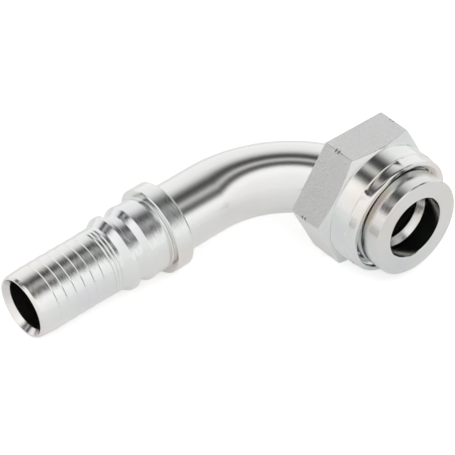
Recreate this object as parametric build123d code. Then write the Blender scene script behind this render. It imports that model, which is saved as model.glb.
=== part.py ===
from build123d import *
import math
import os

# A steel hose fitting with a 90 degree elbow: a hose stem, a bent tube, a nose sleeve with a flat
# sealing face and a loose hexagon nut. Millimetres, +Z up. The origin is the centre of the sealing
# face. The nose points along -Y and the hose stem runs to the -X side. The fitting lies on its nut
# and on the stem's tip, so the stem droops a little below the nose's axis. The loose nut is slid
# back to the bend and hangs a few degrees askew.

# Tube
tube_diameter = 19.05
tube_wall = 1.875
bend_radius = 31.8
bend_angle = 90.0
stem_straight = 13.85    # plain tube between the bend and the stem's collar
nose_straight = 0.75     # plain tube between the bend and the nose sleeve
braze_gap = 0.05         # between the tube and its two sockets, on the radius

# Nose sleeve, with lengths measured back from the sealing face
nose_flange_length = 8.0
nose_edge = 0.25         # chamfer round the sealing face
shoulder_width = 2.1     # step that the nut pulls on, on the radius
shoulder_round = 0.4
mouth_diameter = 17.5
mouth_depth = 5.7
mouth_edge = 0.15
mouth_cone_length = 1.9
seat_wall = 1.2          # metal between the mouth's cone and the end of the tube
shank_wall = 2.125       # metal round the tube's socket
shank_length = 5.2
shank_edge = 0.5

# Hose stem, with lengths measured from its tip and heights on the radius
stem_bore = 14.0
stem_wall = 2.1
funnel_width = 0.95
funnel_depth = 1.65
tip_land = 0.4           # flat ring at the very end
tip_edge = 0.4
tip_edge_length = 0.7
barb_count = 6
barb_start = 5.65        # tip to the first crest
barb_pitch = 2.86
barb_height = 0.18
barb_back = 0.35         # length over which a crest falls to the next root
groove_count = 3
groove_pitch = 1.06
groove_width = 0.53
groove_depth = 0.22
groove_run_out = 0.68    # plain stretch between the last fine groove and the first cone
first_cone_length = 2.13
first_ring_height = 1.35
first_ring_width = 1.26
lock_groove_depth = 1.15
lock_groove_width = 2.71
lock_groove_round = 0.4
second_cone_length = 1.8
second_ring_height = 1.2
second_ring_width = 1.07
ring_edge = 0.15
neck_step = 0.2          # from the second ring down to the neck
neck_length = 3.88
undercut_depth = 0.45
undercut_width = 1.65
undercut_round = 0.35
collar_wall = 2.55       # metal round the tube's socket
collar_width = 5.2
collar_front_edge = 0.25
collar_back_edge = 0.5
stem_seat = 0.3          # collar's front face to the end of the tube

# Swivel nut
nut_clearance = 0.6      # round the sleeve's shank, and off the bend, on the radius
thread_clearance = 0.4   # between the nose and the crests of the nut's thread, on the radius
thread_length = 13.0
thread_entry = 0.45
nut_wall = 3.25          # from the thread's crests to a flat
nut_length = 19.2
nut_hole_edge = 0.35
nut_swing = 2.6          # the loose nut's back follows the bend, in degrees
nut_sag = 3.7            # and its front end hangs a little, in degrees
nut_pivot = 7.0          # sealing face to the place where the nut's axis crosses the nose's axis
hex_length = 10.8        # back end to the start of the round front
hex_chamfer_angle = 20.0
body_relief = 0.6        # the round front is this much smaller than a flat, on the radius
band_relief = 0.3        # step down to the band at the front end
band_length = 3.25
band_round = 0.4
press_count = 8          # dies that press the band, each leaving a gap to the next
press_gap = 3.5          # width of the rib left in each gap, in degrees
rib_length = 2.4         # a rib runs out towards the front end

# Radii that follow from the sizes above
tube_radius = tube_diameter / 2
tube_bore_radius = tube_radius - tube_wall
socket_radius = tube_radius + braze_gap
shank_radius = socket_radius + shank_wall
nose_radius = shank_radius + shoulder_width
mouth_radius = mouth_diameter / 2
stem_bore_radius = stem_bore / 2
stem_radius = stem_bore_radius + stem_wall
first_ring_radius = stem_radius + first_ring_height
lock_groove_radius = first_ring_radius - lock_groove_depth
second_ring_radius = lock_groove_radius + second_ring_height
neck_radius = second_ring_radius - neck_step
undercut_radius = neck_radius - undercut_depth
collar_radius = socket_radius + collar_wall
nut_hole_radius = shank_radius + nut_clearance
thread_radius = nose_radius + thread_clearance
flat_distance = thread_radius + nut_wall
body_radius = flat_distance - body_relief
band_radius = body_radius - band_relief

# Distances behind the sealing face
cone_end = mouth_depth + mouth_cone_length
tube_end_in_nose = cone_end + seat_wall
shank_end = nose_flange_length + shank_length

# Distances from the stem's tip
last_root = barb_start + barb_count * barb_pitch
first_cone_start = last_root + groove_count * groove_pitch + groove_run_out
first_ring_start = first_cone_start + first_cone_length
first_ring_end = first_ring_start + first_ring_width
second_cone_start = first_ring_end + lock_groove_width
second_ring_start = second_cone_start + second_cone_length
second_ring_end = second_ring_start + second_ring_width
undercut_start = second_ring_end + neck_length
collar_start = undercut_start + undercut_width
collar_end = collar_start + collar_width
tube_end_in_stem = collar_start + stem_seat

# The bend first lies level. Its two axes cross at the corner.
turn = math.radians(bend_angle)
tangent_length = bend_radius * math.tan(turn / 2)
nose_reach = tangent_length + nose_straight + shank_end
stem_reach = tangent_length + stem_straight + collar_end
face_centre = Vector(0, 0, 0)
nose_back = Vector(0, 1, 0)
corner = face_centre + nose_back * nose_reach
stem_way = Vector(-math.sin(turn), math.cos(turn), 0)
stem_tip = corner + stem_way * stem_reach


def reach_over_bend(shift):
    """How far the nut's hole passes over the bend before it meets the bend's inside."""
    inner_bend_radius = bend_radius - tube_radius
    apart = bend_radius - nut_hole_radius - shift + nut_clearance
    return math.sqrt(inner_bend_radius**2 - apart**2)


# The nut is slid back until its hole meets the bend, and it swings with the bend within its play.
bend_start = shank_end + nose_straight
swing_shift = (bend_start + reach_over_bend(0) - nut_pivot) * math.tan(math.radians(nut_swing))
nut_back = bend_start + reach_over_bend(swing_shift) + nut_hole_edge
nut_front = nut_back - nut_length

# The front end of the nut's lowest flat is the lowest place of the sagging nut.
flat_lever = nut_back - hex_length - nut_pivot
sag_turn = math.radians(nut_sag)
rest_depth = flat_distance * math.cos(sag_turn) - flat_lever * math.sin(sag_turn)


def rest_angle(reach, radius):
    """Droop at which one ring of the stem touches the surface that the nut lies on."""
    return math.asin(rest_depth / math.hypot(reach, radius)) - math.atan2(radius, reach)


def settled_turn():
    """Turn about the nose's axis that brings the stem down to rest, in degrees."""
    tip_radius = stem_bore_radius + funnel_width + tip_land + tip_edge
    rings = [
        (stem_reach - tip_edge_length, tip_radius),
        (stem_reach - barb_start, stem_radius),
        (stem_reach - collar_start, collar_radius),
    ]
    droop = min(rest_angle(reach, radius) for reach, radius in rings)
    return -math.degrees(math.asin(math.sin(droop) / math.sin(turn)))


def rounded(outline, corners, radius):
    """Round the outline's corners that lie at the given (distance, radius) places."""
    picked = [outline.vertices().sort_by_distance(Vector(*place))[0] for place in corners]
    return fillet(picked, radius)


def turned(outline, start, direction):
    """A solid of revolution. The outline's X runs along the axis from start and its Y is the radius."""
    side = Plane(origin=start, x_dir=direction, z_dir=Vector(0, 0, 1))
    return revolve(side * outline, Axis(start, direction))


def barb_points():
    """Saw-tooth crests, each rising slowly away from the tip and falling behind its crest."""
    points = []
    for count in range(barb_count):
        crest = barb_start + count * barb_pitch
        points.append((crest, stem_radius))
        points.append((crest + barb_back, stem_radius - barb_height))
    points.append((last_root, stem_radius))
    return points


def fine_groove_points():
    """Shallow turned grooves in the plain stretch behind the barbs."""
    points = []
    for count in range(groove_count):
        middle = last_root + (count + 0.5) * groove_pitch
        points.append((middle - groove_width / 2, stem_radius))
        points.append((middle, stem_radius - groove_depth))
        points.append((middle + groove_width / 2, stem_radius))
    return points


def stem_outline():
    """Half section of the hose stem, from the tip to the collar's back and home through the bore."""
    funnel_radius = stem_bore_radius + funnel_width
    points = [
        (funnel_depth, stem_bore_radius),
        (funnel_depth * 0.3, funnel_radius - funnel_width * 0.3),
        (0, funnel_radius),
        (0, funnel_radius + tip_land),
        (tip_edge_length, funnel_radius + tip_land + tip_edge),
    ]
    points += barb_points()
    points += fine_groove_points()
    points += [
        (first_cone_start, stem_radius),
        (first_ring_start, first_ring_radius),
        (first_ring_end, first_ring_radius),
        (first_ring_end, lock_groove_radius),
        (second_cone_start, lock_groove_radius),
        (second_ring_start, second_ring_radius),
        (second_ring_end, second_ring_radius),
        (second_ring_end, neck_radius),
        (undercut_start, neck_radius),
        (undercut_start, undercut_radius),
        (collar_start, undercut_radius),
        (collar_start, collar_radius - collar_front_edge),
        (collar_start + collar_front_edge, collar_radius),
        (collar_end - collar_back_edge, collar_radius),
        (collar_end, collar_radius - collar_back_edge),
        (collar_end, socket_radius),
        (tube_end_in_stem, socket_radius),
        (tube_end_in_stem, stem_bore_radius),
    ]
    outline = make_face(Polyline(*points, close=True))
    outline = rounded(outline, [(first_ring_end, lock_groove_radius)], lock_groove_round)
    outline = rounded(outline, [(first_ring_end, first_ring_radius)], ring_edge)
    return rounded(outline, [(collar_start, undercut_radius)], undercut_round)


def hose_stem():
    return turned(stem_outline(), stem_tip, -stem_way)


def elbow_tube():
    """Bent tube from the stem's socket to the nose sleeve's socket."""
    stem_end = stem_tip - stem_way * tube_end_in_stem
    nose_end = face_centre + nose_back * tube_end_in_nose
    route = FilletPolyline(stem_end, corner, nose_end, radius=bend_radius)
    start = Plane(origin=stem_end, z_dir=-stem_way)
    outside = sweep(start * Circle(tube_radius), path=route)
    inside = sweep(start * Circle(tube_bore_radius), path=route)
    return outside - inside


def nose_sleeve():
    points = [
        (0, mouth_radius + mouth_edge),
        (0, nose_radius - nose_edge),
        (nose_edge, nose_radius),
        (nose_flange_length, nose_radius),
        (nose_flange_length, shank_radius),
        (shank_end - shank_edge, shank_radius),
        (shank_end, shank_radius - shank_edge),
        (shank_end, socket_radius),
        (tube_end_in_nose, socket_radius),
        (tube_end_in_nose, tube_bore_radius),
        (cone_end, tube_bore_radius),
        (mouth_depth, mouth_radius),
        (mouth_edge, mouth_radius),
    ]
    outline = make_face(Polyline(*points, close=True))
    outline = rounded(outline, [(nose_flange_length, shank_radius)], shoulder_round)
    return turned(outline, face_centre, nose_back)


def nut_body():
    """The nut before it is bored. The corners of its hexagon are chamfered towards the front."""
    corner_radius = flat_distance / math.cos(math.pi / 6)
    chamfer_length = (corner_radius - body_radius) * math.tan(math.radians(hex_chamfer_angle))
    back = face_centre + nose_back * nut_back
    towards_nose = Plane(origin=back, x_dir=Vector(1, 0, 0), z_dir=-nose_back)
    flats = extrude(towards_nose * RegularPolygon(flat_distance, 6, major_radius=False), hex_length)
    cone_points = [
        (0, 0),
        (0, corner_radius),
        (hex_length - chamfer_length, corner_radius),
        (hex_length, body_radius),
        (hex_length, 0),
    ]
    front_points = [
        (0, 0),
        (0, body_radius),
        (nut_length - band_length, body_radius),
        (nut_length - band_length, band_radius),
        (nut_length, band_radius),
        (nut_length, 0),
    ]
    chamfered_flats = flats & turned(make_face(Polyline(*cone_points, close=True)), back, -nose_back)
    front = rounded(make_face(Polyline(*front_points, close=True)), [(nut_length, band_radius)], band_round)
    return chamfered_flats + turned(front, back, -nose_back) + band_ribs()


def band_ribs():
    """Short ribs between the pressed parts of the band, from its step to where they run out."""
    step = nut_front + band_length
    side = Plane(origin=face_centre, x_dir=nose_back, z_dir=Vector(1, 0, 0))
    points = [
        (step - rib_length, band_radius),
        (step, body_radius),
        (step + band_relief, band_radius),
        (step + band_relief, band_radius - band_relief),
        (step - rib_length, band_radius - band_relief),
    ]
    axis = Axis(face_centre, nose_back)
    outline = side * make_face(Polyline(*points, close=True))
    rib = revolve(outline, axis, press_gap).rotate(axis, -press_gap / 2)
    return [rib.rotate(axis, count * 360 / press_count) for count in range(press_count)]


def level_nut():
    """Nut with a thread at its front, drawn at the crests, and a hole that passes the shank."""
    shoulder = nut_length - thread_length
    inside_points = [
        (0, 0),
        (0, nut_hole_radius + nut_hole_edge),
        (nut_hole_edge, nut_hole_radius),
        (shoulder, nut_hole_radius),
        (shoulder, thread_radius),
        (nut_length - thread_entry, thread_radius),
        (nut_length, thread_radius + thread_entry),
        (nut_length, 0),
    ]
    back = face_centre + nose_back * nut_back
    inside = turned(make_face(Polyline(*inside_points, close=True)), back, -nose_back)
    return nut_body() - inside


def swivel_nut():
    """The loose nut as it hangs on the nose."""
    pivot = face_centre + nose_back * nut_pivot
    sagged = level_nut().rotate(Axis(pivot, (1, 0, 0)), nut_sag)
    return sagged.rotate(Axis(pivot, (0, 0, 1)), nut_swing)


def main():
    settle = Rot(0, settled_turn(), 0)
    os.makedirs("parts", exist_ok=True)
    export_step(settle * hose_stem(), "parts/hose_stem.step")
    export_step(settle * elbow_tube(), "parts/elbow_tube.step")
    export_step(settle * nose_sleeve(), "parts/nose_sleeve.step")
    export_step(swivel_nut(), "parts/swivel_nut.step")
    print("nut stands back", round(nut_front, 3), "and the stem droops", round(-settled_turn(), 3))
    print("sealing face to corner", round(nose_reach, 3), "and corner to tip", round(stem_reach, 3))


main()
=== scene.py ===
# %% [markdown]
# # A plated hose fitting with a swivel nut
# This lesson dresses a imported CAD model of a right-angle hydraulic hose fitting. The stem, the bent
# tube and the nose sleeve keep their CAD meshes and only get finishes, because their turned and
# drawn surfaces are exact there. The nut is modelled again: a real one has a thread, softened edges
# and knocked corners, which the plain CAD nut leaves out.

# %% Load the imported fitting
import math

import bmesh
import bpy
from mathutils import Matrix, Vector


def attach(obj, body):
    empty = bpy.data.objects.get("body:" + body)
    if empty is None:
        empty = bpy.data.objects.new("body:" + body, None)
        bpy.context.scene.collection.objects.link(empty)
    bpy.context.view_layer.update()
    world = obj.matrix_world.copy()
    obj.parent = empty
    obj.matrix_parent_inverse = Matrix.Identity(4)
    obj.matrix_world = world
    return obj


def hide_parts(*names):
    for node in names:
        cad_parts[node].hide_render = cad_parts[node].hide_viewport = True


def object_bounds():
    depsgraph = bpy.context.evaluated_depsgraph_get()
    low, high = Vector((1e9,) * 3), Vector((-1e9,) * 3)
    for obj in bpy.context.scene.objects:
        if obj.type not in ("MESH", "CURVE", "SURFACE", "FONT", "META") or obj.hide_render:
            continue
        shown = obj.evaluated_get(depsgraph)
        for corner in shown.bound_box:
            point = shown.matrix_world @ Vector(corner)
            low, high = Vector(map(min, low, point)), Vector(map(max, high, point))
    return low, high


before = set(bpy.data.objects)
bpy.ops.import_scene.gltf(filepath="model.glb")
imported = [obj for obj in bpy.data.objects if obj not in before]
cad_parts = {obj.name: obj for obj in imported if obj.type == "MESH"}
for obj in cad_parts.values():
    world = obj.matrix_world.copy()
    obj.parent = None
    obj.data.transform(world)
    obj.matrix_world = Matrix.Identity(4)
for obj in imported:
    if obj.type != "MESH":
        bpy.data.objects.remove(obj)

MM = 0.001
cad_box = [list(corner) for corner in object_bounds()]
print("nodes", sorted(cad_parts), "box", cad_box)

# %% [markdown]
# ## The camera
# The fitting was pictured from its left front and from above with a long lens, which flattens the
# view. The place, turn and lens come from fitting a pinhole camera to the outlines in the photo,
# with the tube taken to be 19.05 mm thick. A camera could be moved by eye instead, but with these
# values every edge falls where it should.

# %% Place the camera
CAMERA_PLACE = (-347.929 * MM, -328.422 * MM, 380.969 * MM)
CAMERA_TURN = (51.2263, -1.0665, -40.0184)
LENS_LENGTH = 188.429
SENSOR_WIDTH = 36
camera_data = bpy.data.cameras.new("camera")
camera_data.lens = LENS_LENGTH
camera_data.sensor_width = SENSOR_WIDTH
camera = bpy.data.objects.new("camera", camera_data)
camera.location = CAMERA_PLACE
camera.rotation_euler = [math.radians(angle) for angle in CAMERA_TURN]
bpy.context.scene.collection.objects.link(camera)
bpy.context.scene.camera = camera
print("camera at", tuple(round(value, 3) for value in camera.location))

# %% [markdown]
# ## The studio
# The world and every material are built from shader nodes. They could be placed by hand in the
# editor, but a script can be read and run again. Three short helpers add a node with its values,
# link two sockets, and fill a colour ramp, so that the cells that follow say what is made and not
# how.


# %% Short ways to build with shader nodes
def add_node(tree, kind, **values):
    """A node with its settings and input values. A name that is no setting is an input socket."""
    node = tree.nodes.new(kind)
    for name, value in values.items():
        if hasattr(node, name):
            setattr(node, name, value)
        else:
            node.inputs[name.replace("_", " ")].default_value = value
    return node


def join(tree, source, target):
    """Link an output socket to an input socket."""
    tree.links.new(source, target)


def fill_ramp(ramp, stops):
    """Give a colour ramp its stops, as pairs of position and colour."""
    elements = ramp.color_ramp.elements
    while len(elements) < len(stops):
        elements.new(0.5)
    for element, (position, colour) in zip(elements, stops):
        element.position = position
        element.color = colour


# %% [markdown]
# Bright metal shows mostly what stands round it. A product studio is a white table with pale walls,
# and dark cloth overhead on both sides of one long soft lamp. Cloth and lamp could be modelled, but
# a world that is read by direction needs one ramp, which is easy to read and to change. Its
# brightness follows the angle across the lamp, so the steel gets two dark bands with a soft light
# between them.

# %% Light the world by direction
SKY_BANDS = [
    (-180, 0.95),
    (-90, 0.98),
    (-52, 1.05),
    (-30, 1.18),
    (-21, 1.05),
    (-14.5, 0.24),
    (-9, 0.05),
    (-4, 0.12),
    (2, 0.68),
    (6, 0.66),
    (10, 0.14),
    (19, 0.04),
    (25, 0.22),
    (34, 0.74),
    (46, 1.00),
    (62, 1.05),
    (90, 1.10),
    (180, 1.04),
]
ACROSS_THE_LAMP = (0.76, 0.65, 0)
world = bpy.data.worlds.new("studio")
bpy.context.scene.world = world
world.use_nodes = True
sky = world.node_tree
sky.nodes.clear()
direction = add_node(sky, "ShaderNodeTexCoord")
height = add_node(sky, "ShaderNodeSeparateXYZ")
across = add_node(sky, "ShaderNodeVectorMath", operation="DOT_PRODUCT")
across.inputs[1].default_value = ACROSS_THE_LAMP
angle_across = add_node(sky, "ShaderNodeMath", operation="ARCTAN2")
share = add_node(sky, "ShaderNodeMapRange")
share.inputs["From Min"].default_value = -math.pi
share.inputs["From Max"].default_value = math.pi
bands = add_node(sky, "ShaderNodeValToRGB")
fill_ramp(bands, [((angle + 180) / 360, (level, level, level, 1)) for angle, level in SKY_BANDS])
join(sky, direction.outputs["Generated"], height.inputs[0])
join(sky, direction.outputs["Generated"], across.inputs[0])
join(sky, across.outputs["Value"], angle_across.inputs[0])
join(sky, height.outputs["Z"], angle_across.inputs[1])
join(sky, angle_across.outputs[0], share.inputs["Value"])
join(sky, share.outputs[0], bands.inputs[0])
print("sky bands", len(SKY_BANDS))

# %% [markdown]
# The camera itself sees plain white behind the fitting. A white board there would do it too, but
# the steel would mirror the board. A Light Path node tells the camera's own rays from the rays that
# light the steel, so the background is white while the metal still has dark cloth to mirror.

# %% Show the camera a white background
seen = add_node(sky, "ShaderNodeLightPath")
studio_light = add_node(sky, "ShaderNodeBackground")
white_light = add_node(sky, "ShaderNodeBackground", Color=(1, 1, 1, 1))
choose = add_node(sky, "ShaderNodeMixShader")
world_end = add_node(sky, "ShaderNodeOutputWorld")
join(sky, bands.outputs["Color"], studio_light.inputs["Color"])
join(sky, seen.outputs["Is Camera Ray"], choose.inputs[0])
join(sky, studio_light.outputs[0], choose.inputs[1])
join(sky, white_light.outputs[0], choose.inputs[2])
join(sky, choose.outputs[0], world_end.inputs["Surface"])
print("world nodes", len(sky.nodes))

# %% [markdown]
# The table is a plain pale sheet under the fitting, which takes the soft shadow where the nut and
# the stem touch it. One grid face is enough, because nobody sees its edges. It lies at the lowest
# point of the CAD model, so the fitting neither floats nor sinks.

# %% Make the table
TABLE_REACH = 3.0
table_height = cad_box[0][2]
table_shape = bmesh.new()
bmesh.ops.create_grid(table_shape, x_segments=1, y_segments=1, size=TABLE_REACH)
bmesh.ops.translate(table_shape, verts=table_shape.verts, vec=(0, 0, table_height))
table_mesh = bpy.data.meshes.new("floor")
table_shape.to_mesh(table_mesh)
table_shape.free()
floor = bpy.data.objects.new("floor", table_mesh)
bpy.context.scene.collection.objects.link(floor)
print("table top at", round(table_height / MM, 2), "mm")

# %% [markdown]
# White paper in a bright studio looks nearly white, and the steel's underside mirrors it as a light
# grey. More lamps would whiten it, but they would bleach the steel as well. So the paper glows a
# little by itself, and Light Path's rays set how much: more to the camera, less to metal or glass
# that mirrors it.

# %% Cover the table with white paper
PAPER = (0.84, 0.84, 0.84, 1)
CAMERA_GLOW = 0.5
MIRROR_GLOW = 0.19
paper = bpy.data.materials.new("white_table")
paper.use_nodes = True
sheet = paper.node_tree
sheet.nodes.clear()
diffuse = add_node(sheet, "ShaderNodeBsdfDiffuse", Color=PAPER)
glow = add_node(sheet, "ShaderNodeEmission", Color=(1, 1, 1, 1))
path = add_node(sheet, "ShaderNodeLightPath")
camera_share = add_node(sheet, "ShaderNodeMath", operation="MULTIPLY")
camera_share.inputs[1].default_value = CAMERA_GLOW
mirrored = add_node(sheet, "ShaderNodeMath", operation="MAXIMUM")
mirror_share = add_node(sheet, "ShaderNodeMath", operation="MULTIPLY")
mirror_share.inputs[1].default_value = MIRROR_GLOW
amount = add_node(sheet, "ShaderNodeMath", operation="ADD")
total = add_node(sheet, "ShaderNodeAddShader")
paper_end = add_node(sheet, "ShaderNodeOutputMaterial")
join(sheet, path.outputs["Is Camera Ray"], camera_share.inputs[0])
join(sheet, path.outputs["Is Glossy Ray"], mirrored.inputs[0])
join(sheet, path.outputs["Is Transmission Ray"], mirrored.inputs[1])
join(sheet, mirrored.outputs[0], mirror_share.inputs[0])
join(sheet, camera_share.outputs[0], amount.inputs[0])
join(sheet, mirror_share.outputs[0], amount.inputs[1])
join(sheet, amount.outputs[0], glow.inputs["Strength"])
join(sheet, diffuse.outputs[0], total.inputs[0])
join(sheet, glow.outputs[0], total.inputs[1])
join(sheet, total.outputs[0], paper_end.inputs["Surface"])
table_mesh.materials.append(paper)
print("paper nodes", len(sheet.nodes))

# %% [markdown]
# One wide lamp in front and above gives the shadow its direction, which the even light of the world
# can't. It is hidden from reflections, because its square would show as a hard patch on the
# polished steel.

# %% Hang one soft lamp
LAMP_PLACE = Vector((-0.1, -0.5, 1.1))
LAMP_AIM = Vector((-0.03, 0.02, 0))
LAMP_SIZE = 0.9
LAMP_POWER = 3.0
lamp_data = bpy.data.lights.new("top_lamp", "AREA")
lamp_data.shape = "SQUARE"
lamp_data.size = LAMP_SIZE
lamp_data.energy = LAMP_POWER
top_lamp = bpy.data.objects.new("top_lamp", lamp_data)
top_lamp.location = LAMP_PLACE
top_lamp.rotation_euler = (LAMP_AIM - LAMP_PLACE).to_track_quat("-Z", "Y").to_euler()
top_lamp.visible_glossy = False
bpy.context.scene.collection.objects.link(top_lamp)
bpy.context.scene.view_settings.view_transform = "Standard"
print("lamp power", lamp_data.energy, "W")

# %% [markdown]
# ## Plated steel
# Every piece is carbon steel with a thin bright zinc plating. Three effects are shared: the faint
# rainbow tint of the plating's passive layer, the fine rings that a lathe leaves, and the dull
# grain of drawn bar. They could be built again in each material, but as node groups each is built
# once and changed in one place.


# %% Start a node group
def new_group(name, inputs, outputs):
    """A shader node group with its sockets, and its two end nodes."""
    group = bpy.data.node_groups.new(name, "ShaderNodeTree")
    for socket_name, kind, value in inputs:
        socket = group.interface.new_socket(socket_name, in_out="INPUT", socket_type=kind)
        if value is not None:
            socket.default_value = value
    for socket_name, kind in outputs:
        group.interface.new_socket(socket_name, in_out="OUTPUT", socket_type=kind)
    start = add_node(group, "NodeGroupInput")
    end = add_node(group, "NodeGroupOutput")
    return group, start, end


# %% [markdown]
# The passive layer is thinner than a wave of light, so it shows faint colours like oil on water. A
# painted picture could hold them, but a slow noise that picks them from a ramp needs no picture and
# has no seam. The steel's own colour is multiplied by them.

# %% The plating's tint
TINTS = [
    (0.30, (0.93, 0.80, 0.84, 1)),
    (0.42, (1.0, 0.95, 0.86, 1)),
    (0.50, (1.0, 1.0, 1.0, 1)),
    (0.58, (0.90, 0.97, 0.93, 1)),
    (0.70, (0.88, 0.86, 0.96, 1)),
]


def plating_tint_group():
    """Base colour that wanders between cream, pink, lilac and green by a little."""
    group, start, end = new_group(
        "plating_tint",
        [
            ("Vector", "NodeSocketVector", None),
            ("Base", "NodeSocketColor", (0.76, 0.76, 0.76, 1)),
            ("Amount", "NodeSocketFloat", 0.3),
            ("Scale", "NodeSocketFloat", 40.0),
        ],
        [("Color", "NodeSocketColor")],
    )
    noise = add_node(group, "ShaderNodeTexNoise", Detail=2.0, Roughness=0.5)
    tints = add_node(group, "ShaderNodeValToRGB")
    fill_ramp(tints, TINTS)
    tinted = add_node(group, "ShaderNodeMix", data_type="RGBA", blend_type="MULTIPLY")
    join(group, start.outputs["Vector"], noise.inputs["Vector"])
    join(group, start.outputs["Scale"], noise.inputs["Scale"])
    join(group, noise.outputs["Fac"], tints.inputs[0])
    join(group, start.outputs["Amount"], tinted.inputs[0])
    join(group, start.outputs["Base"], tinted.inputs[6])
    join(group, tints.outputs["Color"], tinted.inputs[7])
    join(group, tinted.outputs[2], end.inputs["Color"])
    return group


PLATING_TINT = plating_tint_group()
print("tints", len(TINTS))

# %% [markdown]
# A lathe's tool leaves rings round the piece, much too fine to model, so they are a height for a
# bump. On a cylinder they change along the axis and on a flat end they change with the radius, so
# two one-way noises are added. The vector's X axis has to lie on the piece's axis.


# %% The lathe's rings
def turning_marks_group():
    """Height of fine rings round the X axis of the vector."""
    group, start, end = new_group(
        "turning_marks",
        [("Vector", "NodeSocketVector", None), ("Rings", "NodeSocketFloat", 3000.0)],
        [("Height", "NodeSocketFloat")],
    )
    parts = add_node(group, "ShaderNodeSeparateXYZ")
    flat = add_node(group, "ShaderNodeCombineXYZ")
    radius = add_node(group, "ShaderNodeVectorMath", operation="LENGTH")
    along = add_node(group, "ShaderNodeTexNoise", noise_dimensions="1D", Detail=3.0, Roughness=0.7)
    outward = add_node(group, "ShaderNodeTexNoise", noise_dimensions="1D", Detail=3.0, Roughness=0.7)
    both = add_node(group, "ShaderNodeMath", operation="ADD")
    join(group, start.outputs["Vector"], parts.inputs[0])
    join(group, parts.outputs["Y"], flat.inputs["Y"])
    join(group, parts.outputs["Z"], flat.inputs["Z"])
    join(group, flat.outputs[0], radius.inputs[0])
    join(group, parts.outputs["X"], along.inputs["W"])
    join(group, radius.outputs["Value"], outward.inputs["W"])
    join(group, start.outputs["Rings"], along.inputs["Scale"])
    join(group, start.outputs["Rings"], outward.inputs["Scale"])
    join(group, along.outputs["Fac"], both.inputs[0])
    join(group, outward.outputs["Fac"], both.inputs[1])
    join(group, both.outputs[0], end.inputs["Height"])
    return group


TURNING_MARKS = turning_marks_group()
print("rings group", TURNING_MARKS.name)

# %% [markdown]
# Drawn bar that no tool has touched is pitted and dull. A stretched noise would look brushed, and
# the pits have no direction, so a plain noise with several octaves is used.


# %% The grain of drawn bar
def bar_grain_group():
    """Height of a fine pitted grain."""
    group, start, end = new_group(
        "bar_grain",
        [("Vector", "NodeSocketVector", None), ("Scale", "NodeSocketFloat", 1500.0)],
        [("Height", "NodeSocketFloat")],
    )
    grain = add_node(group, "ShaderNodeTexNoise", Detail=4.0, Roughness=0.65)
    join(group, start.outputs["Vector"], grain.inputs["Vector"])
    join(group, start.outputs["Scale"], grain.inputs["Scale"])
    join(group, grain.outputs["Fac"], end.inputs["Height"])
    return group


BAR_GRAIN = bar_grain_group()
print("node groups", [group.name for group in bpy.data.node_groups])

# %% [markdown]
# Each finish is one Principled shader, fully metallic, because the zinc is as much a metal as the
# steel under it. A second shader as a clear coat would make it look lacquered. A Mapping node turns
# the pattern's X axis onto the axis that the piece was turned about: the stem droops a little, and
# the nose and the nut lie near the Y axis.


# %% A finish from the shared effects
def place_group(tree, group, **values):
    """Put a node group into a material with its own values."""
    node = add_node(tree, "ShaderNodeGroup", node_tree=group)
    for name, value in values.items():
        node.inputs[name].default_value = value
    return node


def steel_finish(name, base, roughness, mark, tint, place=(0, 0, 0), turn=(0, 0, 0)):
    """A plated steel. mark is a node group, its scale's name and value, and the depth in metres."""
    material = bpy.data.materials.new(name)
    material.use_nodes = True
    tree = material.node_tree
    shader = tree.nodes["Principled BSDF"]
    shader.inputs["Metallic"].default_value = 1.0
    shader.inputs["Roughness"].default_value = roughness
    where = add_node(tree, "ShaderNodeTexCoord")
    turned = add_node(tree, "ShaderNodeMapping", vector_type="TEXTURE")
    turned.inputs["Location"].default_value = place
    turned.inputs["Rotation"].default_value = [math.radians(angle) for angle in turn]
    colour = place_group(tree, PLATING_TINT, Base=base, Amount=tint)
    group, scale_name, scale, depth = mark
    pattern = place_group(tree, group, **{scale_name: scale})
    bump = add_node(tree, "ShaderNodeBump", Distance=depth)
    join(tree, where.outputs["Object"], turned.inputs["Vector"])
    join(tree, where.outputs["Object"], colour.inputs["Vector"])
    join(tree, colour.outputs["Color"], shader.inputs["Base Color"])
    join(tree, turned.outputs["Vector"], pattern.inputs["Vector"])
    join(tree, pattern.outputs["Height"], bump.inputs["Height"])
    join(tree, bump.outputs["Normal"], shader.inputs["Normal"])
    return material


# %% [markdown]
# The stem and the nose sleeve are turned, so they get rings. The tube is drawn and then bent, so it
# is smooth with a very shallow grain. One finish for all three would be shorter, but the tube would
# then show rings that no lathe cut. The stem's pattern starts where its axis meets the nose's, and
# droops with it.

# %% Give the stem, the tube and the nose their finishes
CORNER = (0, 45.75 * MM, 0)
DROOP = 5.16
stem_steel = steel_finish(
    "turned_stem_steel",
    base=(0.79, 0.79, 0.78, 1),
    roughness=0.11,
    mark=(TURNING_MARKS, "Rings", 3800.0, 0.00002),
    tint=0.35,
    place=CORNER,
    turn=(0, -DROOP, 0),
)
tube_steel = steel_finish(
    "drawn_tube_steel",
    base=(0.79, 0.79, 0.78, 1),
    roughness=0.16,
    mark=(BAR_GRAIN, "Scale", 300.0, 0.00001),
    tint=0.15,
)
nose_steel = steel_finish(
    "turned_nose_steel",
    base=(0.70, 0.70, 0.69, 1),
    roughness=0.11,
    mark=(TURNING_MARKS, "Rings", 3500.0, 0.000015),
    tint=0.45,
    turn=(0, 0, 90),
)


def dress(node, material):
    """Give a CAD node one material and leave its mesh alone."""
    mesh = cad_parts[node].data
    mesh.materials.clear()
    mesh.materials.append(material)


dress("hose_stem", stem_steel)
dress("elbow_tube", tube_steel)
dress("nose_sleeve", nose_steel)
print("materials", [material.name for material in bpy.data.materials])

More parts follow.
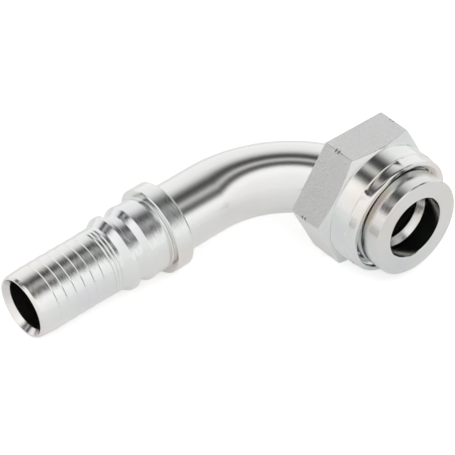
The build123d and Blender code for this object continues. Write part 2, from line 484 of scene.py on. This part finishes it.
# %% [markdown]
# ## The swivel nut
# The nut is cut from hexagon bar: one end stays a hexagon, the other is turned round, and a press
# closes a band round its rim in eight bites. Its sizes are the CAD nut's, in millimetres and
# degrees, with lengths measured back from its front end. They could be read from the CAD mesh, but
# named sizes are surer, and the new nut fits the nose and the tube as the CAD one does.

# %% Sizes of the nut
NUT_FRONT = 6.137
NUT_LENGTH = 19.2
HEX_START = 8.4
HEX_CHAMFER_ANGLE = 20
FLAT_DISTANCE = 17.45
BLANK_RADIUS = 20.4
BODY_RADIUS = 16.85
BAND_RADIUS = 16.55
BAND_LENGTH = 3.25
RIB_ROWS = (0.85, 1.45, 2.05, 2.65)
CHAMFER_LENGTH = (BLANK_RADIUS - BODY_RADIUS) * math.tan(math.radians(HEX_CHAMFER_ANGLE))
HOLE_RADIUS = 12.3
HOLE_EDGE = 0.35
SHOULDER = 13.0
RELIEF_START = 12.5
RELIEF_RADIUS = 15.25
print("hexagon", round(2 * FLAT_DISTANCE, 2), "mm across its flats")

# %% [markdown]
# The nut starts as half of its section, drawn as one flat face, because rounding a corner of a face
# is easier than rounding a whole ring. Each corner is a distance behind the front end, a radius and
# a rounding. The rim has the largest rounding, because the press has rolled it over.


# %% Draw the nut's half section
def nut_point(behind, radius):
    """Place on the nut's section, in the plane of the Y and Z axes."""
    return Vector((0, (NUT_FRONT + behind) * MM, radius * MM))


SECTION = [
    (0, RELIEF_RADIUS, 0),
    (0, BAND_RADIUS, 0.42),
    *[(behind, BAND_RADIUS, 0) for behind in RIB_ROWS],
    (BAND_LENGTH, BAND_RADIUS, 0.1),
    (BAND_LENGTH + 0.1, BODY_RADIUS, 0.12),
    (HEX_START, BODY_RADIUS, 0.08),
    (HEX_START + CHAMFER_LENGTH, BLANK_RADIUS, 0),
    (NUT_LENGTH, BLANK_RADIUS, 0),
    (NUT_LENGTH, HOLE_RADIUS + HOLE_EDGE, 0.05),
    (NUT_LENGTH - HOLE_EDGE, HOLE_RADIUS, 0.05),
    (SHOULDER, HOLE_RADIUS, 0.2),
    (SHOULDER, RELIEF_RADIUS, 0.25),
    (RELIEF_START, RELIEF_RADIUS, 0),
]
nut_shape = bmesh.new()
section_corners = [nut_shape.verts.new(nut_point(behind, radius)) for behind, radius, _ in SECTION]
nut_shape.faces.new(section_corners)
for corner, (_, _, rounding) in zip(section_corners, SECTION):
    if rounding:
        bmesh.ops.bevel(
            nut_shape,
            geom=[corner],
            offset=rounding * MM,
            offset_type="OFFSET",
            segments=3,
            profile=0.5,
            affect="VERTICES",
            material=-1,
        )
print("section corners", len(nut_shape.verts))

# %% [markdown]
# The face has done its work, so it goes, together with the edge that lies where the thread will be.
# A full spin then turns the open outline into the nut. A lathe does the same, and a stack of
# cylinders would lose the rounded corners. The helper also winds the thread.


# %% Spin the section
STEPS_ROUND = 240
MERGE_DISTANCE = 0.001 * MM


def whole(shape):
    """All the parts of a bmesh, as its operators want them."""
    return list(shape.verts) + list(shape.edges) + list(shape.faces)


def spin_round(shape, rise, merge):
    """Turn an outline once round the Y axis while it moves on along the axis by the rise."""
    bmesh.ops.spin(
        shape,
        geom=whole(shape),
        cent=(0, 0, 0),
        axis=(0, 1, 0),
        dvec=(0, rise / STEPS_ROUND, 0),
        angle=math.radians(360),
        steps=STEPS_ROUND,
        use_merge=merge,
        use_duplicate=False,
    )
    bmesh.ops.remove_doubles(shape, verts=shape.verts, dist=MERGE_DISTANCE)


thread_side = nut_shape.edges.get((section_corners[-1], section_corners[0]))
bmesh.ops.delete(nut_shape, geom=list(nut_shape.faces), context="FACES_ONLY")
bmesh.ops.delete(nut_shape, geom=[thread_side], context="EDGES")
spin_round(nut_shape, 0, True)
print("nut points after the spin", len(nut_shape.verts))

# %% [markdown]
# The press closes on the rim with eight dies, and a little metal stays proud between two of them.
# The ribs could be wedges of their own, but on the real nut they are one skin with the band. So the
# band's points between two dies are moved out, more towards the step. The last fifth of a rib is
# wider, which rounds the corners of the pressed fields.

# %% Leave the press's ribs
DIE_TURN = 45
HALF_RIB = 1.6
HALF_RIB_AT_STEP = 3.1
WIDER_FROM = 0.8
RIB_END = 1.03
RADIUS_SLACK = 0.01


def behind_front(vert):
    """Distance of a point behind the nut's front end, in millimetres."""
    return vert.co.y / MM - NUT_FRONT


ribbed = 0
for vert in nut_shape.verts:
    radius = math.hypot(vert.co.x, vert.co.z) / MM
    turn = math.degrees(math.atan2(vert.co.x, vert.co.z))
    off_rib = abs((turn + DIE_TURN / 2) % DIE_TURN - DIE_TURN / 2)
    along_rib = (behind_front(vert) - RIB_ROWS[0]) / (BAND_LENGTH - RIB_ROWS[0])
    half_width = HALF_RIB if along_rib < WIDER_FROM else HALF_RIB_AT_STEP
    on_band = 0 < along_rib <= RIB_END and BAND_RADIUS - RADIUS_SLACK < radius < BODY_RADIUS
    if on_band and off_rib < half_width:
        wanted = BAND_RADIUS + (BODY_RADIUS - BAND_RADIUS) * min(along_rib, 1)
        grow = max(wanted / radius, 1)
        vert.co.x *= grow
        vert.co.z *= grow
        ribbed += 1
print("points in ribs", ribbed)

# %% [markdown]
# Six plane cuts make the flats, where a boolean with a hexagon would leave a rougher mesh. Each cut
# leaves an open rim, and one flat face closes it. The faces made here get the second material slot,
# because bar stock keeps a dull grain where the lathe hasn't touched it.

# %% Cut the six flats
TURNED, FLAT, KNOCK = 0, 1, 2
ON_PLANE = 0.0001 * MM


def out_at(angle):
    """Direction square to the nut's axis, at a turn from straight up."""
    return Vector((math.sin(math.radians(angle)), 0, math.cos(math.radians(angle))))


for count in range(6):
    normal = out_at(60 * count)
    cut = bmesh.ops.bisect_plane(
        nut_shape,
        geom=whole(nut_shape),
        dist=ON_PLANE,
        plane_co=normal * FLAT_DISTANCE * MM,
        plane_no=normal,
        clear_outer=True,
    )
    rim = [item for item in cut["geom_cut"] if isinstance(item, bmesh.types.BMEdge)]
    bmesh.ops.edgeloop_fill(nut_shape, edges=rim, mat_nr=FLAT, use_smooth=False)
print("flats", len([face for face in nut_shape.faces if face.material_index == FLAT]))

# %% [markdown]
# A loose nut gets knocked in the bin, so each corner has two small nicks near its middle. Dark
# paint could stand for them, but a dent also breaks the corner's outline. The flats are cut across
# beside each nick and once along the corner. Then the point between the cuts is pushed in.

# %% Nick the corners
CORNER_RADIUS = FLAT_DISTANCE / math.cos(math.radians(30))
NICKS = (14.4, 15.35)
NICK_HALF_LENGTH = 0.22
NICK_REACH = 0.33
NICK_DEPTH = 0.45


def cut_flats(place, normal):
    """Cut the flats with a plane and keep both sides."""
    flats = [face for face in nut_shape.faces if face.material_index == FLAT]
    edges = dict.fromkeys(edge for face in flats for edge in face.edges)
    verts = dict.fromkeys(vert for face in flats for vert in face.verts)
    geom = flats + list(edges) + list(verts)
    bmesh.ops.bisect_plane(nut_shape, geom=geom, dist=ON_PLANE, plane_co=place, plane_no=normal)


for middle in NICKS:
    for shift in (-NICK_HALF_LENGTH, 0, NICK_HALF_LENGTH):
        cut_flats(nut_point(middle + shift, 0), Vector((0, 1, 0)))
for count in range(6):
    out = out_at(60 * count + 30)
    cut_flats(out * (CORNER_RADIUS - NICK_REACH) * MM, out)
    for middle in NICKS:
        tip = out * CORNER_RADIUS * MM + nut_point(middle, 0)
        knocked = min(nut_shape.verts, key=lambda vert: (vert.co - tip).length)
        knocked.co -= out * NICK_DEPTH * MM
        for face in knocked.link_faces:
            face.material_index = KNOCK
print("nicks", 6 * len(NICKS))

# %% [markdown]
# The nut's thread has twelve turns to the inch, and its crests show inside the open front. A Screw
# modifier could wind it, but a spin can move along the axis too, so the same helper serves. The
# outline repeats one tooth along the axis and moves on by one pitch in a turn, so each turn meets
# the next. It starts before the nut and ends past the thread's length, and two plane cuts trim it.

# %% Wind the thread
THREAD_CREST = 14.2
THREAD_ROOT = 15.1
THREAD_PITCH = 2.117
THREAD_START = 0.75
THREAD_END = 12.2
FLANK_ANGLE = 30
FLANK = (THREAD_ROOT - THREAD_CREST) * math.tan(math.radians(FLANK_ANGLE))
CREST_WIDTH = 0.3 * THREAD_PITCH
FIRST_CREST = THREAD_START - 0.5
TEETH = range(-1, 7)
outline = []
for count in TEETH:
    start = FIRST_CREST + count * THREAD_PITCH
    outline.append(nut_point(start, THREAD_CREST))
    outline.append(nut_point(start + CREST_WIDTH, THREAD_CREST))
    outline.append(nut_point(start + CREST_WIDTH + FLANK, THREAD_ROOT))
    outline.append(nut_point(start + THREAD_PITCH - FLANK, THREAD_ROOT))
thread_shape = bmesh.new()
thread_points = [thread_shape.verts.new(place) for place in outline]
for first, second in zip(thread_points, thread_points[1:]):
    thread_shape.edges.new((first, second))
spin_round(thread_shape, THREAD_PITCH * MM, False)
for behind, way_out in ((THREAD_START, -1), (THREAD_END, 1)):
    bmesh.ops.bisect_plane(
        thread_shape,
        geom=whole(thread_shape),
        dist=ON_PLANE,
        plane_co=nut_point(behind, 0),
        plane_no=(0, way_out, 0),
        clear_outer=True,
    )
print("thread faces", len(thread_shape.faces))

# %% [markdown]
# Both ends of the thread are open loops, and so are the two circles that the nut's skin ends in.
# The thread could lie in the nut as a loose piece, but light would leak at its ends. So it is
# copied into the nut, and a bridge between each loop and its circle closes the skin. The front
# bridge is also the countersink that lets a mate start.


# %% Join the thread to the nut
RIM_SLACK = 0.02


def open_rim(behind):
    """The open edges at one distance behind the nut's front end."""
    rim = []
    for edge in nut_shape.edges:
        off_place = max(abs(behind_front(vert) - behind) for vert in edge.verts)
        if edge.is_boundary and off_place < RIM_SLACK:
            rim.append(edge)
    return rim


thread_mesh = bpy.data.meshes.new("thread")
thread_shape.to_mesh(thread_mesh)
thread_shape.free()
nut_shape.from_mesh(thread_mesh)
bpy.data.meshes.remove(thread_mesh)
bmesh.ops.bridge_loops(nut_shape, edges=open_rim(0) + open_rim(THREAD_START))
bmesh.ops.bridge_loops(nut_shape, edges=open_rim(RELIEF_START) + open_rim(THREAD_END))
print("open edges left", len([edge for edge in nut_shape.edges if edge.is_boundary]))

# %% [markdown]
# Real edges catch a thin line of light. A Bevel modifier would round every edge, the thread's too,
# so only the hexagon's edges are picked for a small bevel, clear of the nicks. They take the bright
# turned finish, because handling polishes them. The rest is shaded smooth except across sharp
# angles.

# %% Bevel and shade the nut
HEX_BEVEL = 0.1
HEX_EDGE_ANGLE = 0.2
SHARP_ANGLE = math.radians(28)


def is_hex_edge(edge):
    """An edge between a flat and another face at an angle, away from the nicks."""
    kinds = [face.material_index for face in edge.link_faces]
    beside_flat = len(kinds) == 2 and FLAT in kinds and KNOCK not in kinds
    return beside_flat and edge.calc_face_angle() > HEX_EDGE_ANGLE


bmesh.ops.recalc_face_normals(nut_shape, faces=nut_shape.faces)
bmesh.ops.bevel(
    nut_shape,
    geom=[edge for edge in nut_shape.edges if is_hex_edge(edge)],
    offset=HEX_BEVEL * MM,
    offset_type="OFFSET",
    segments=2,
    profile=0.5,
    affect="EDGES",
    clamp_overlap=True,
    material=TURNED,
)
for face in nut_shape.faces:
    face.smooth = face.material_index == TURNED
for edge in nut_shape.edges:
    edge.smooth = edge.calc_face_angle(0) < SHARP_ANGLE
print("nut faces", len(nut_shape.faces))

# %% [markdown]
# The loose nut hangs askew: its front drops until it meets the nose, and its back follows the bend.
# The object could be turned, but then its pattern and its hinge would need the turn as well. So the
# mesh is turned about one point on the nose's axis, and the object stays unturned at the origin.
# The nut then stands for the CAD nut and turns with the same body.

# %% Hang the nut on the nose
SAG_ANGLE = 3.7
SWING_ANGLE = 2.6
HANG_PIVOT = Vector((0, 7.0 * MM, 0))
SAG = Matrix.Rotation(math.radians(SAG_ANGLE), 4, "X")
SWING = Matrix.Rotation(math.radians(SWING_ANGLE), 4, "Z")
HANG = Matrix.Translation(HANG_PIVOT) @ SWING @ SAG @ Matrix.Translation(-HANG_PIVOT)
bmesh.ops.transform(nut_shape, matrix=HANG, verts=nut_shape.verts)
nut_mesh = bpy.data.meshes.new("threaded_nut")
nut_shape.to_mesh(nut_mesh)
nut_shape.free()
threaded_nut = bpy.data.objects.new("threaded_nut", nut_mesh)
bpy.context.scene.collection.objects.link(threaded_nut)
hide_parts("swivel_nut")
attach(threaded_nut, "nut")
print("nut size", [round(value / MM, 2) for value in threaded_nut.dimensions])

# %% [markdown]
# The nut has three finishes, in the order of its material slots: bright turned steel with the most
# tint, dull bar stock on the flats, and dark bruised metal in the nicks. One finish with painted
# masks could do it too, but the faces already know how they were made. The rings are turned onto
# the nut's tilted axis, or they would run off it.

# %% Finish the nut's surfaces
nut_axis_turn = (SWING @ SAG @ Matrix.Rotation(math.radians(90), 4, "Z")).to_euler()
nut_turned_steel = steel_finish(
    "turned_nut_steel",
    base=(0.78, 0.78, 0.77, 1),
    roughness=0.1,
    mark=(TURNING_MARKS, "Rings", 2600.0, 0.000012),
    tint=0.65,
    place=HANG @ Vector((0, 0, 0)),
    turn=[math.degrees(angle) for angle in nut_axis_turn],
)
nut_flat_steel = steel_finish(
    "bar_flat_steel",
    base=(0.82, 0.82, 0.815, 1),
    roughness=0.42,
    mark=(BAR_GRAIN, "Scale", 1700.0, 0.0008),
    tint=0.1,
)
knocked_steel = steel_finish(
    "knocked_corner_steel",
    base=(0.25, 0.25, 0.26, 1),
    roughness=0.5,
    mark=(BAR_GRAIN, "Scale", 1900.0, 0.0001),
    tint=0.1,
)
for material in (nut_turned_steel, nut_flat_steel, knocked_steel):
    nut_mesh.materials.append(material)
print("nut materials", [material.name for material in nut_mesh.materials])
